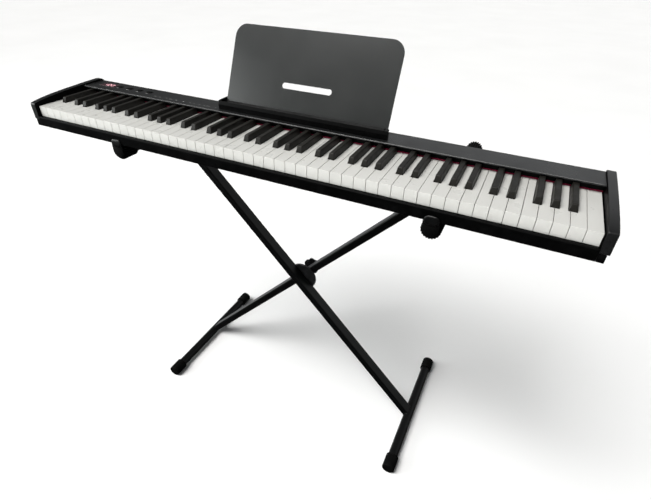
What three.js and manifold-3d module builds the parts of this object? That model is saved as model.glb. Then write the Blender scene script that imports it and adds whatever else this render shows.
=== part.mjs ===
// Digital piano with 88 keys on a folding X stand.
// Millimetres, +Z up. +X is the player's right, and the player sits on the -Y side.
// The origin is on the floor, at the centre of the footprint.
import * as THREE from 'three';
import { mergeVertices } from 'three/addons/utils/BufferGeometryUtils.js';
import Module from 'manifold-3d';

const wasm = await Module();
wasm.setup();

// ---------------------------------------------------------------- driving dimensions
const FIT = 0.3; // clearance kept between neighbouring pieces

// keyboard, in the piano's own frame: y = 0 at the key fronts, z = 0 at the white key tops
const KEY_PITCH = 23.5;
const WHITE_COUNT = 52;
const KEY_GAP = 0.9;
const WHITE_THICK = 12;
const WHITE_SKIRT_Z = -23.3;
const WHITE_SKIRT_THICK = 4;
const BLACK_FRONT_Y = 49.2;
const BLACK_HEIGHT = 12.5;
const BLACK_BASE_W = 13;
const BLACK_TOP_W = 9.8;
const BLACK_BOTTOM_Z = -10;
const BLACK_FULL_END_Y = 143.2;
const BLACK_DIP_TOP_Z = 0.3; // the tail dips under the nameboard and its felt
const BLACK_DIP_END_Y = 151.2;
const BLACK_TAIL_TOP_Z = 9;
const NOTCH_CLEAR = 0.8;
const SPINE_FRONT_Y = 176;
const KEY_END_Y = 186;
const WHITE_SPINE_TOP_Z = -2;
const BLACK_SPINE_BOTTOM_Z = 2;

// piano case
const CHEEK_INNER_X = 612.6;
const CHEEK_OUTER_X = 627.5;
const CHEEK_BOTTOM_Z = -30;
const CHEEK_FRONT_Y = -8.5;
const CHEEK_REAR_Y = 203;
const CASE_HALF_X = 624;
const CASE_REAR_Y = 201;
const CASE_FRONT_Y = -1.2;
const CASE_STEP_Y = 31.5;
const CASE_FRONT_BOTTOM_Z = -45.3;
const CASE_BOTTOM_Z = -50.2;
const CASE_WALL = 3;
const CASE_RIM_Z = -30.3;
const PANEL_TOP_Z = 17.5;
const PANEL_THICK = 2.6;
const PANEL_FRONT_Y = 135.8;
const PANEL_REAR_Y = 199.5;
const PANEL_HALF_X = 612.2;
const NAMEBOARD = { frontY: 146, rearY: 149.5, bottomZ: 1.2, lipFrontY: 136.4, lipBottomZ: 13.3 };
const FELT = { thick: 1.4, bottomZ: 0.7, topZ: 3.4 };
const KEY_FRAME_PLATE_Z = -26;
const KEY_FRAME_THICK = 2;

// controls on the panel
const BUTTON_XS = [-520, -487, -454, -421];
const BUTTON_Y = 172;
const BUTTON_LENGTH = 14;
const BUTTON_WIDTH = 8;
const DISPLAY = { x: -558, y: 172, width: 50, depth: 24 };

// music rest
const REST_X = 14;
const REST_WIDTH = 395.2;
const REST_THICK = 3;
const REST_TILT = THREE.MathUtils.degToRad(23.5);
const REST_HEIGHT = 168.4;
const REST_TONGUE = 11;
const REST_CORNER_R = 28;
const REST_FOOT_Y = 175;
const REST_FOOT_Z = 32.6;
const REST_SLOT = { length: 120.6, height: 12.5, up: 51.5 };
const LEDGE = { left: -190, right: 219, frontY: 150, rearY: 190, topZ: 37.5, lipZ: 35.3 };
const LEDGE_NOTCH = { fromX: 206, fromY: 160 }; // right rear corner, cut away behind the lip

// stand
const FOOT_CAP_R = 17;
const CAP_SIDES = 24;
const FOOT_HALF_SPAN = 367;
const FOOT_AXIS_Z = FOOT_CAP_R * Math.cos(Math.PI / CAP_SIDES); // flats of the caps on the floor
const ARM_HALF_SPAN = 362;
const ARM_AXIS_Z = 773.5;
const HUB_SHARE = FOOT_HALF_SPAN / (FOOT_HALF_SPAN + ARM_HALF_SPAN);
const HUB_Z = FOOT_AXIS_Z + (ARM_AXIS_Z - FOOT_AXIS_Z) * HUB_SHARE;
const LEGS_Y = -1.5; // midway between the two legs
const LEG_PLANE_Y = 17.8;
const LEG_DEPTH = 30;
const LEG_WIDTH = 20;
const LEG_CORNER_R = 3;
const TUBE_WALL = 1.5;
const FOOT_TUBE_R = 13;
const FOOT_HALF_LENGTH = 209.5;
const FOOT_CENTRE_Y = -3;
const ARM_TUBE_R = 12.5;
const ARM_HALF_LENGTH = 211;
const ARM_CENTRE_Y = 1.5;
const ARM_CAP_R = 18.8;
const CAP_LENGTH = 40;
const CAP_END_WALL = 5;
const CAP_RIBS = 20;
const CAP_RIB_DEPTH = 1.1;
const STOP = { halfWidth: 15.5, bottomZ: -13.5, topZ: 32, thick: 3.7, noseR: 16.5, noseLength: 6.8 };
const SLEEVE_R = 14;
const SLEEVE_Y0 = -170.5;
const SLEEVE_Y1 = -38;
const DISC_R = 40.5;
const DISC_THICK = 2.3;
const BOLT_R = 6;
const BOLT_HEAD_R = 6.9;
const KNOB_R = 24;

// where the piano's own frame sits on the stand
const PIANO_Y = -199.5;
const PIANO_Z = ARM_AXIS_Z + SLEEVE_R + FIT - CASE_BOTTOM_Z;

// ---------------------------------------------------------------- materials
const finish = (color, roughness, metalness = 0) =>
  new THREE.MeshStandardMaterial({ color, roughness, metalness });
const PAINT = finish(0x16181a, 0.38, 0.4);
const CASE_BLACK = finish(0x101112, 0.5);
const PANEL_GREY = finish(0x2b2d2f, 0.4);
const REST_GREY = finish(0x2e3233, 0.3);
const RUBBER = finish(0x121313, 0.85);
const IVORY_WHITE = finish(0xdedcd4, 0.3);
const SHARP_BLACK = finish(0x1c1b19, 0.55);
const FELT_RED = finish(0x6e1428, 0.95);
const STEEL = finish(0x9a9da0, 0.35, 0.9);
const BOARD_GREEN = finish(0x1d5a34, 0.6);
const WINDOW_DARK = finish(0x1a0a0c, 0.12);

// ---------------------------------------------------------------- geometry helpers
const DOWN_Y = new THREE.Matrix4().makeBasis(
  new THREE.Vector3(1, 0, 0), new THREE.Vector3(0, 0, 1), new THREE.Vector3(0, -1, 0));
const ALONG_X = new THREE.Matrix4().makeBasis(
  new THREE.Vector3(0, 1, 0), new THREE.Vector3(0, 0, 1), new THREE.Vector3(1, 0, 0));

function box(x0, x1, y0, y1, z0, z1) {
  const geometry = new THREE.BoxGeometry(x1 - x0, y1 - y0, z1 - z0);
  return geometry.translate((x0 + x1) / 2, (y0 + y1) / 2, (z0 + z1) / 2);
}

function shapeOf(outline, holes = []) {
  const toVector = ([u, v]) => new THREE.Vector2(u, v);
  const shape = new THREE.Shape(outline.map(toVector));
  shape.holes = holes.map((hole) => new THREE.Path(hole.map(toVector)));
  return shape;
}

function extrude(shape, depth, curveSegments = 6) {
  return new THREE.ExtrudeGeometry(shape, { depth, bevelEnabled: false, curveSegments });
}

// outline in (y, z), pushed along X from x0 to x1
function prismX(outline, x0, x1) {
  return extrude(shapeOf(outline), x1 - x0).applyMatrix4(ALONG_X).translate(x0, 0, 0);
}

// outline in (x, z), pushed along Y from y0 to y1
function prismY(outline, y0, y1, holes = []) {
  return extrude(shapeOf(outline, holes), y1 - y0).applyMatrix4(DOWN_Y).translate(0, y1, 0);
}

function circle(radius, sides, x = 0, z = 0) {
  const point = (_, i) => {
    const turn = ((i + 0.5) / sides) * 2 * Math.PI;
    return [x + radius * Math.cos(turn), z + radius * Math.sin(turn)];
  };
  return Array.from({ length: sides }, point);
}

// rectangle with rounded corners, centred, in the (u, v) plane
function roundedRect(width, height, radius, cornerSteps = 3) {
  const points = [];
  const corners = [[1, 1, 0], [-1, 1, 1], [-1, -1, 2], [1, -1, 3]];
  for (const [su, sv, quarter] of corners) {
    const cu = su * (width / 2 - radius);
    const cv = sv * (height / 2 - radius);
    for (let i = 0; i <= cornerSteps; i++) {
      const turn = (quarter + i / cornerSteps) * (Math.PI / 2);
      points.push([cu + radius * Math.cos(turn), cv + radius * Math.sin(turn)]);
    }
  }
  return points;
}

function solid(geometry) {
  const bare = geometry.clone();
  bare.deleteAttribute('normal');
  bare.deleteAttribute('uv');
  const merged = mergeVertices(bare);
  return new wasm.Manifold(new wasm.Mesh({
    numProp: 3,
    vertProperties: new Float32Array(merged.attributes.position.array),
    triVerts: new Uint32Array(merged.index.array),
  }));
}

function geometryOf(manifold) {
  const mesh = manifold.getMesh();
  const geometry = new THREE.BufferGeometry();
  geometry.setAttribute('position', new THREE.BufferAttribute(mesh.vertProperties, 3));
  geometry.setIndex(new THREE.BufferAttribute(mesh.triVerts, 1));
  const flat = geometry.toNonIndexed();
  flat.computeVertexNormals();
  return flat;
}

function join(geometries) {
  const [first, ...rest] = geometries.map(solid);
  return geometryOf(rest.reduce((whole, piece) => whole.add(piece), first));
}

function cut(geometry, tools) {
  const start = solid(geometry);
  return geometryOf(tools.map(solid).reduce((whole, tool) => whole.subtract(tool), start));
}

function overlapOf(a, b) {
  return geometryOf(solid(a).intersect(solid(b)));
}

function part(parent, name, geometry, material) {
  const mesh = new THREE.Mesh(geometry, material);
  mesh.name = name;
  parent.add(mesh);
  return mesh;
}

// ---------------------------------------------------------------- keyboard
const keyX = (index) => (index - WHITE_COUNT / 2) * KEY_PITCH;

// Black key centres inside one octave, from its C: the tails share the width evenly.
const CDE_TAIL = (3 * KEY_PITCH) / 5;
const FGAB_TAIL = (4 * KEY_PITCH) / 7;
const FGAB_START = 3 * KEY_PITCH;
const OCTAVE_SHARPS = [
  { boundary: 1, x: 1.5 * CDE_TAIL },
  { boundary: 2, x: 3.5 * CDE_TAIL },
  { boundary: 4, x: FGAB_START + 1.5 * FGAB_TAIL },
  { boundary: 5, x: FGAB_START + 3.5 * FGAB_TAIL },
  { boundary: 6, x: FGAB_START + 5.5 * FGAB_TAIL },
];
const FIRST_C = 2; // white keys A0 and B0 come before the first C
const OCTAVES = 7;

// Every black key, as the white key boundary that it stands on and its centre.
const SHARPS = new Map();
for (let octave = -1; octave < OCTAVES; octave++) {
  for (const { boundary, x } of OCTAVE_SHARPS) {
    const index = FIRST_C + octave * 7 + boundary;
    if (index > 0) SHARPS.set(index, keyX(FIRST_C + octave * 7) + x);
  }
}

function whiteKeyPieces(index) {
  const left = keyX(index) + KEY_GAP / 2;
  const right = keyX(index + 1) - KEY_GAP / 2;
  const reach = BLACK_BASE_W / 2 + NOTCH_CLEAR;
  const tailLeft = SHARPS.has(index) ? SHARPS.get(index) + reach : left;
  const tailRight = SHARPS.has(index + 1) ? SHARPS.get(index + 1) - reach : right;
  const headEnd = BLACK_FRONT_Y - 1;
  return [
    box(left, right, 0, headEnd, -WHITE_THICK, 0),
    box(tailLeft, tailRight, headEnd - 5, KEY_END_Y, -WHITE_THICK, 0),
    box(left, right, 0, WHITE_SKIRT_THICK, WHITE_SKIRT_Z, -WHITE_THICK / 2),
  ];
}

// White keys first to last, moulded in one comb with a spine at the back.
function whiteComb(first, last) {
  const pieces = [];
  for (let index = first; index <= last; index++) pieces.push(...whiteKeyPieces(index));
  const spineLeft = keyX(first) + KEY_GAP / 2;
  const spineRight = keyX(last + 1) - KEY_GAP / 2;
  const reach = BLACK_BASE_W / 2 + NOTCH_CLEAR;
  const x0 = SHARPS.has(first) ? SHARPS.get(first) + reach : spineLeft;
  const x1 = SHARPS.has(last + 1) ? SHARPS.get(last + 1) - reach : spineRight;
  pieces.push(box(x0, x1, SPINE_FRONT_Y, KEY_END_Y, -WHITE_THICK, WHITE_SPINE_TOP_Z));
  return join(pieces);
}

function blackKey(centre) {
  const side = [
    [BLACK_FRONT_Y, BLACK_BOTTOM_Z], [164, BLACK_BOTTOM_Z], [170, BLACK_SPINE_BOTTOM_Z],
    [KEY_END_Y, BLACK_SPINE_BOTTOM_Z], [KEY_END_Y, BLACK_TAIL_TOP_Z],
    [BLACK_DIP_END_Y, BLACK_TAIL_TOP_Z], [BLACK_DIP_END_Y, BLACK_DIP_TOP_Z],
    [BLACK_FULL_END_Y, BLACK_DIP_TOP_Z], [BLACK_FULL_END_Y, BLACK_HEIGHT],
    [BLACK_FRONT_Y + 4.3, BLACK_HEIGHT], [BLACK_FRONT_Y, 1],
  ];
  const half = BLACK_BASE_W / 2;
  const halfTop = BLACK_TOP_W / 2;
  const front = [
    [centre - half, BLACK_BOTTOM_Z - 1], [centre + half, BLACK_BOTTOM_Z - 1],
    [centre + half, 0], [centre + halfTop, BLACK_HEIGHT], [centre - halfTop, BLACK_HEIGHT],
    [centre - half, 0],
  ];
  const block = prismX(side, centre - half - 1, centre + half + 1);
  return overlapOf(block, prismY(front, BLACK_FRONT_Y - 1, KEY_END_Y + 1));
}

// Black keys in one comb: their tails meet a spine that passes over the white tails.
function blackComb(boundaries) {
  const centres = boundaries.map((boundary) => SHARPS.get(boundary));
  const keys = centres.map(blackKey);
  if (keys.length === 1) return keys[0];
  const x0 = centres[0];
  const x1 = centres[centres.length - 1];
  const spine = box(x0, x1, SPINE_FRONT_Y, KEY_END_Y, BLACK_SPINE_BOTTOM_Z, BLACK_TAIL_TOP_Z);
  return join([...keys, spine]);
}

function addKeyboard(piano) {
  part(piano, 'white_keys_a0_b0', whiteComb(0, FIRST_C - 1), IVORY_WHITE);
  part(piano, 'black_key_a0', blackComb([1]), SHARP_BLACK);
  for (let octave = 0; octave < OCTAVES; octave++) {
    const c = FIRST_C + octave * 7;
    const sharps = OCTAVE_SHARPS.map(({ boundary }) => c + boundary);
    part(piano, `white_keys_octave_${octave + 1}`, whiteComb(c, c + 6), IVORY_WHITE);
    part(piano, `black_keys_octave_${octave + 1}`, blackComb(sharps), SHARP_BLACK);
  }
  part(piano, 'white_key_c8', whiteComb(WHITE_COUNT - 1, WHITE_COUNT - 1), IVORY_WHITE);
}

// ---------------------------------------------------------------- case
function cheekGeometry() {
  const shape = new THREE.Shape();
  shape.moveTo(CHEEK_FRONT_Y, CHEEK_BOTTOM_Z);
  shape.lineTo(CHEEK_REAR_Y, CHEEK_BOTTOM_Z);
  shape.lineTo(CHEEK_REAR_Y, 12);
  shape.quadraticCurveTo(CHEEK_REAR_Y, 22.5, CHEEK_REAR_Y - 12, 22.5);
  shape.quadraticCurveTo(40, 18.5, CHEEK_FRONT_Y + 3, 8.6);
  shape.quadraticCurveTo(CHEEK_FRONT_Y, 7.4, CHEEK_FRONT_Y, 4.5);
  return extrude(shape, CHEEK_OUTER_X - CHEEK_INNER_X, 10).applyMatrix4(ALONG_X);
}

const SOCKET_Z = -39;
const SOCKET_HEIGHT = 11;
const SOCKET_REAR_Y = CASE_REAR_Y - 0.5;
const SOCKET_HOLE_R = 4;
const SOCKETS = [
  { name: 'power_inlet', x: -540, width: 14, holes: [0] },
  { name: 'jack_block', x: -490, width: 34, holes: [-9, 9] },
];
const SPEAKER_X = 450;
const SPEAKER_Y = 92;

function grilleSlots(x) {
  const slots = [];
  for (let i = -4; i <= 4; i++) {
    const half = Math.sqrt(36 ** 2 - (i * 8) ** 2);
    const y = SPEAKER_Y + i * 8;
    slots.push(box(x - half, x + half, y - 1.5, y + 1.5, CASE_BOTTOM_Z - 1, CASE_BOTTOM_Z + 5));
  }
  return slots;
}

function bottomCaseGeometry() {
  const outer = prismX([
    [CASE_FRONT_Y, CASE_FRONT_BOTTOM_Z], [CASE_STEP_Y, CASE_FRONT_BOTTOM_Z],
    [CASE_STEP_Y, CASE_BOTTOM_Z], [CASE_REAR_Y - 2, CASE_BOTTOM_Z],
    [CASE_REAR_Y, CASE_BOTTOM_Z + 2], [CASE_REAR_Y, CASE_RIM_Z], [CASE_FRONT_Y, CASE_RIM_Z],
  ], -CASE_HALF_X, CASE_HALF_X);
  const earIn = CHEEK_INNER_X;
  const ear = (x0, x1) => box(x0, x1, CHEEK_FRONT_Y, 20, CASE_FRONT_BOTTOM_Z, CASE_RIM_Z);
  const shell = join([outer, ear(earIn, CASE_HALF_X), ear(-CASE_HALF_X, -earIn)]);
  const well = prismX([
    [CASE_FRONT_Y + CASE_WALL, CASE_FRONT_BOTTOM_Z + CASE_WALL],
    [CASE_STEP_Y + CASE_WALL, CASE_FRONT_BOTTOM_Z + CASE_WALL],
    [CASE_STEP_Y + CASE_WALL, CASE_BOTTOM_Z + CASE_WALL],
    [CASE_REAR_Y - CASE_WALL, CASE_BOTTOM_Z + CASE_WALL],
    [CASE_REAR_Y - CASE_WALL, 0], [CASE_FRONT_Y + CASE_WALL, 0],
  ], -CASE_HALF_X + CASE_WALL, CASE_HALF_X - CASE_WALL);
  const keySkirtRoom = box(-CHEEK_INNER_X, CHEEK_INNER_X, CASE_FRONT_Y - 1, 10, -36, 0);
  const windows = SOCKETS.map(({ x, width }) => box(
    x - width / 2 - FIT, x + width / 2 + FIT, CASE_REAR_Y - 5, CASE_REAR_Y + 1,
    SOCKET_Z - SOCKET_HEIGHT / 2 - FIT, SOCKET_Z + SOCKET_HEIGHT / 2 + FIT));
  const grilles = [...grilleSlots(-SPEAKER_X), ...grilleSlots(SPEAKER_X)];
  return cut(shell, [well, keySkirtRoom, ...windows, ...grilles]);
}

function keySlipGeometry() {
  return prismX([
    [-9, -45], [-6, -45], [-6, -26], [-1.8, -26], [-1.8, -22.8], [-7.2, -22.8], [-9, -24.6],
  ], -CHEEK_INNER_X + FIT, CHEEK_INNER_X - FIT);
}

function topPanelGeometry() {
  const under = PANEL_TOP_Z - PANEL_THICK;
  const plate = prismX([
    [PANEL_FRONT_Y, under], [PANEL_REAR_Y, under], [PANEL_REAR_Y, PANEL_TOP_Z - 0.8],
    [PANEL_REAR_Y - 0.8, PANEL_TOP_Z], [PANEL_FRONT_Y + 0.8, PANEL_TOP_Z],
    [PANEL_FRONT_Y, PANEL_TOP_Z - 0.8],
  ], -PANEL_HALF_X, PANEL_HALF_X);
  const holes = BUTTON_XS.map((x) => buttonPrism(x, FIT * 1.5, under - 1, PANEL_TOP_Z + 1));
  const halfW = DISPLAY.width / 2 + FIT;
  const halfD = DISPLAY.depth / 2 + FIT;
  const window = box(
    DISPLAY.x - halfW, DISPLAY.x + halfW, DISPLAY.y - halfD, DISPLAY.y + halfD,
    under - 1, PANEL_TOP_Z + 1);
  return cut(plate, [window, ...holes]);
}

function buttonPrism(x, grow, z0, z1) {
  const width = BUTTON_WIDTH + 2 * grow;
  const outline = roundedRect(BUTTON_LENGTH + 2 * grow, width, width / 2 - 0.01, 4);
  return extrude(shapeOf(outline), z1 - z0).translate(x, BUTTON_Y, z0);
}

function keyFrameGeometry() {
  const plateUnder = KEY_FRAME_PLATE_Z - KEY_FRAME_THICK;
  const floor = CASE_BOTTOM_Z + CASE_WALL + FIT;
  const frontRib = CASE_STEP_Y + CASE_WALL + FIT;
  return prismX([
    [frontRib, floor], [frontRib + 2, floor], [frontRib + 2, plateUnder], [158, plateUnder],
    [158, floor], [160, floor], [160, plateUnder], [191, plateUnder], [191, 10], [188.5, 10],
    [188.5, KEY_FRAME_PLATE_Z], [frontRib, KEY_FRAME_PLATE_Z],
  ], -611, 611);
}

function speakerGeometry() {
  const profile = [
    [0, -29.5], [20, -29.5], [20, -36], [43, -43.4], [47, -43.8], [47, -46.9], [40, -46.9],
    [12, -40], [0, -39],
  ];
  const points = profile.reverse().map(([r, z]) => new THREE.Vector2(r, z));
  return new THREE.LatheGeometry(points, 20).rotateX(Math.PI / 2);
}

function socketGeometry({ width, holes }) {
  const half = SOCKET_HEIGHT / 2;
  const body = box(-width / 2, width / 2, SOCKET_REAR_Y - 28, SOCKET_REAR_Y, -half, half);
  const bores = holes.map((x) =>
    prismY(circle(SOCKET_HOLE_R, 12, x), SOCKET_REAR_Y - 24, SOCKET_REAR_Y + 1));
  return cut(body, bores);
}

function addCase(piano) {
  part(piano, 'bottom_case', bottomCaseGeometry(), CASE_BLACK);
  part(piano, 'key_slip', keySlipGeometry(), CASE_BLACK);
  part(piano, 'cheek_right', cheekGeometry().translate(CHEEK_INNER_X, 0, 0), CASE_BLACK);
  part(piano, 'cheek_left', cheekGeometry().translate(-CHEEK_OUTER_X, 0, 0), CASE_BLACK);
  const under = PANEL_TOP_Z - PANEL_THICK;
  part(piano, 'rear_cover', box(
    -PANEL_HALF_X, PANEL_HALF_X, 196.2, 199.5, CASE_RIM_Z + FIT, under - FIT), CASE_BLACK);
  part(piano, 'top_panel', topPanelGeometry(), PANEL_GREY);
  const { frontY, rearY, bottomZ, lipFrontY, lipBottomZ } = NAMEBOARD;
  part(piano, 'fascia_strip', prismX([
    [lipFrontY, lipBottomZ], [frontY, lipBottomZ], [frontY, bottomZ], [rearY, bottomZ],
    [rearY, under - FIT], [lipFrontY, under - FIT],
  ], -PANEL_HALF_X, PANEL_HALF_X), CASE_BLACK);
  part(piano, 'felt_strip', box(
    -611.5, 611.5, frontY - FIT - FELT.thick, frontY - FIT, FELT.bottomZ, FELT.topZ), FELT_RED);
  part(piano, 'display_window', box(
    DISPLAY.x - DISPLAY.width / 2, DISPLAY.x + DISPLAY.width / 2,
    DISPLAY.y - DISPLAY.depth / 2, DISPLAY.y + DISPLAY.depth / 2,
    under + 0.2, PANEL_TOP_Z), WINDOW_DARK);
  BUTTON_XS.forEach((x, i) => {
    part(piano, `panel_button_${i + 1}`, buttonPrism(x, 0, 14.4, PANEL_TOP_Z + 1.2), RUBBER);
  });
}

function addInsides(piano) {
  part(piano, 'key_frame', keyFrameGeometry(), STEEL);
  part(piano, 'contact_board', box(-600, 600, 118, 146, -25.7, -24.1), BOARD_GREEN);
  part(piano, 'main_board', box(-300, -120, 50, 140, -44, -42.4), BOARD_GREEN);
  part(piano, 'button_board', box(-590, -400, 150, 186, 12, 13.2), BOARD_GREEN);
  for (const [name, x] of [['speaker_left', -SPEAKER_X], ['speaker_right', SPEAKER_X]]) {
    part(piano, name, speakerGeometry(), CASE_BLACK).position.set(x, SPEAKER_Y, 0);
  }
  for (const socket of SOCKETS) {
    part(piano, socket.name, socketGeometry(socket), CASE_BLACK).position.set(socket.x, 0, SOCKET_Z);
  }
}

// ---------------------------------------------------------------- music rest
function restLedgeGeometry() {
  const foot = PANEL_TOP_Z + FIT;
  const { left, right, frontY, rearY, topZ, lipZ } = LEDGE;
  const block = prismX([
    [frontY, foot], [rearY, foot], [rearY, topZ - 2], [rearY - 2, topZ], [frontY + 5, topZ],
    [frontY + 3, 35], [frontY, 28.5],
  ], left, right);
  const in0 = REST_X - REST_WIDTH / 2 - 0.9;
  const in1 = REST_X + REST_WIDTH / 2 + 0.9;
  const lean = Math.tan(REST_TILT);
  const wallY = REST_FOOT_Y + REST_THICK / Math.cos(REST_TILT) + 0.5;
  const above = 50;
  const trough = prismX([
    [frontY - 5, lipZ], [frontY + 5.5, lipZ], [frontY + 6.2, REST_FOOT_Z], [wallY, REST_FOOT_Z],
    [wallY + (above - REST_FOOT_Z) * lean, above], [frontY - 5, above],
  ], in0, in1);
  const slot = box(in0, in1, -REST_TONGUE - 1, 2, -REST_THICK - 0.5, 0.5);
  slot.rotateX(Math.PI / 2 - REST_TILT).translate(0, REST_FOOT_Y, REST_FOOT_Z);
  const notch = box(LEDGE_NOTCH.fromX, right + 1, LEDGE_NOTCH.fromY, rearY + 1, 0, above);
  return cut(block, [trough, slot, notch]);
}

// Front face on z = 0, the tongue in the slot below y = 0.
function restPlateGeometry() {
  const half = REST_WIDTH / 2;
  const shape = new THREE.Shape();
  shape.moveTo(-half, -REST_TONGUE);
  shape.lineTo(half, -REST_TONGUE);
  shape.lineTo(half, REST_HEIGHT - REST_CORNER_R);
  shape.absarc(half - REST_CORNER_R, REST_HEIGHT - REST_CORNER_R, REST_CORNER_R, 0, Math.PI / 2);
  shape.absarc(-half + REST_CORNER_R, REST_HEIGHT - REST_CORNER_R, REST_CORNER_R,
    Math.PI / 2, Math.PI);
  const slot = roundedRect(REST_SLOT.length, REST_SLOT.height, REST_SLOT.height / 2 - 0.01, 6);
  const hole = slot.map(([u, v]) => new THREE.Vector2(u, v + REST_SLOT.up));
  shape.holes = [new THREE.Path(hole)];
  return extrude(shape, REST_THICK, 8).translate(0, 0, -REST_THICK);
}

function addMusicRest(piano) {
  part(piano, 'music_rest_ledge', restLedgeGeometry(), CASE_BLACK);
  const plate = part(piano, 'music_rest_plate', restPlateGeometry(), REST_GREY);
  plate.position.set(REST_X, REST_FOOT_Y, REST_FOOT_Z);
  plate.rotation.x = Math.PI / 2 - REST_TILT;
}

// ---------------------------------------------------------------- stand
function pipeY(radius, wall, y0, y1, sides = 24) {
  return prismY(circle(radius, sides), y0, y1, [circle(radius - wall, sides)]);
}

// Outline of a moulded cap: plain when ribs is 0, finely ribbed otherwise.
function capOutline(radius, ribs) {
  if (ribs === 0) return circle(radius, CAP_SIDES);
  const point = (_, i) => {
    const turn = (i / (ribs * 4)) * 2 * Math.PI;
    const r = radius - (i % 4 < 2 ? 0 : CAP_RIB_DEPTH);
    return [r * Math.cos(turn), r * Math.sin(turn)];
  };
  return Array.from({ length: ribs * 4 }, point);
}

// Cup that slides over a tube end. side is -1 for the front end and 1 for the rear end.
function capGeometry(radius, tubeRadius, halfLength, side, ribs) {
  const body = prismY(capOutline(radius, ribs), halfLength - CAP_LENGTH, halfLength);
  const bore = prismY(
    circle(tubeRadius + FIT, 24), halfLength - CAP_LENGTH - 1, halfLength - CAP_END_WALL);
  const cup = cut(body, [bore]);
  return side > 0 ? cup : cup.rotateZ(Math.PI);
}

// Front cap of an arm: a ribbed cup with a narrower nose, and an upright stop lip on the nose
// that stands in front of the case. The lip leaves FIT between itself and the case.
function stopCapGeometry() {
  const noseEnd = ARM_HALF_LENGTH - 0.7;
  const grip = prismY(
    capOutline(ARM_CAP_R, CAP_RIBS), ARM_HALF_LENGTH - CAP_LENGTH, noseEnd - STOP.noseLength);
  const nose = prismY(circle(STOP.noseR, 24), noseEnd - STOP.noseLength - 1, noseEnd);
  const height = STOP.topZ - STOP.bottomZ;
  const outline = roundedRect(2 * STOP.halfWidth, height, STOP.halfWidth - 0.01, 6)
    .map(([u, v]) => [u, v + (STOP.topZ + STOP.bottomZ) / 2]);
  const lip = prismY(outline, noseEnd - 0.01, noseEnd + STOP.thick);
  const bore = prismY(
    circle(ARM_TUBE_R + FIT, 24), ARM_HALF_LENGTH - CAP_LENGTH - 1, ARM_HALF_LENGTH - CAP_END_WALL);
  return cut(join([grip, nose, lip]), [bore]).rotateZ(Math.PI);
}

// Rectangular leg, coped onto the round tubes at both ends, drilled for the pivot bolt.
// Its own frame: centre at the pivot, long axis along X, foot at +X. The bolt hole starts at
// holeFrom along Y: the front leg is drilled only through its rear wall.
function legGeometry(holeFrom) {
  const lower = Math.hypot(FOOT_HALF_SPAN, HUB_Z - FOOT_AXIS_Z);
  const upper = Math.hypot(ARM_HALF_SPAN, ARM_AXIS_Z - HUB_Z);
  const outer = roundedRect(LEG_DEPTH, LEG_WIDTH, LEG_CORNER_R, 2);
  const inner = roundedRect(
    LEG_DEPTH - 2 * TUBE_WALL, LEG_WIDTH - 2 * TUBE_WALL, LEG_CORNER_R - TUBE_WALL, 1);
  const bar = extrude(shapeOf(outer, [inner]), lower + upper)
    .applyMatrix4(ALONG_X).translate(-upper, 0, 0);
  const reach = LEG_DEPTH;
  const footCope = prismY(circle(FOOT_TUBE_R + FIT, 24, lower), -reach, reach);
  const armCope = prismY(circle(ARM_TUBE_R + FIT, 24, -upper), -reach, reach);
  const boltHole = prismY(circle(BOLT_R + FIT, 16), holeFrom, reach);
  return cut(bar, [footCope, armCope, boltHole]);
}

function discGeometry() {
  const rim = circle(DISC_R, 40);
  return prismY(rim, 0, DISC_THICK, [circle(BOLT_R + FIT, 16)]);
}

// Stud with its head held inside the front leg, so the leg's front face stays plain.
function boltGeometry() {
  const seat = -LEG_PLANE_Y + LEG_DEPTH / 2 - TUBE_WALL - FIT;
  const points = [
    [0, 54], [BOLT_R - 1, 54], [BOLT_R, 53], [BOLT_R, seat], [BOLT_HEAD_R, seat],
    [BOLT_HEAD_R, seat - 6], [0, seat - 6],
  ];
  const profile = points.reverse().map(([r, y]) => new THREE.Vector2(r, y));
  return new THREE.LatheGeometry(profile, 16);
}

// Star knob with lobes, bored for the end of the pivot bolt, with a round boss in front.
function knobGeometry() {
  const lobes = 7;
  const steps = 42;
  const outline = Array.from({ length: steps }, (_, i) => {
    const turn = (i / steps) * 2 * Math.PI;
    const r = KNOB_R - 2.2 + 2.2 * Math.cos(lobes * turn);
    return [r * Math.cos(turn), r * Math.sin(turn)];
  });
  const front = LEG_PLANE_Y + LEG_DEPTH / 2 + FIT;
  const head = prismY(outline, front + 12, front + 31);
  const boss = prismY(circle(14, 24), front, front + 14);
  const bore = prismY(circle(BOLT_R + FIT, 16), front - 1, front + 22);
  return cut(join([head, boss]), [bore]);
}

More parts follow.
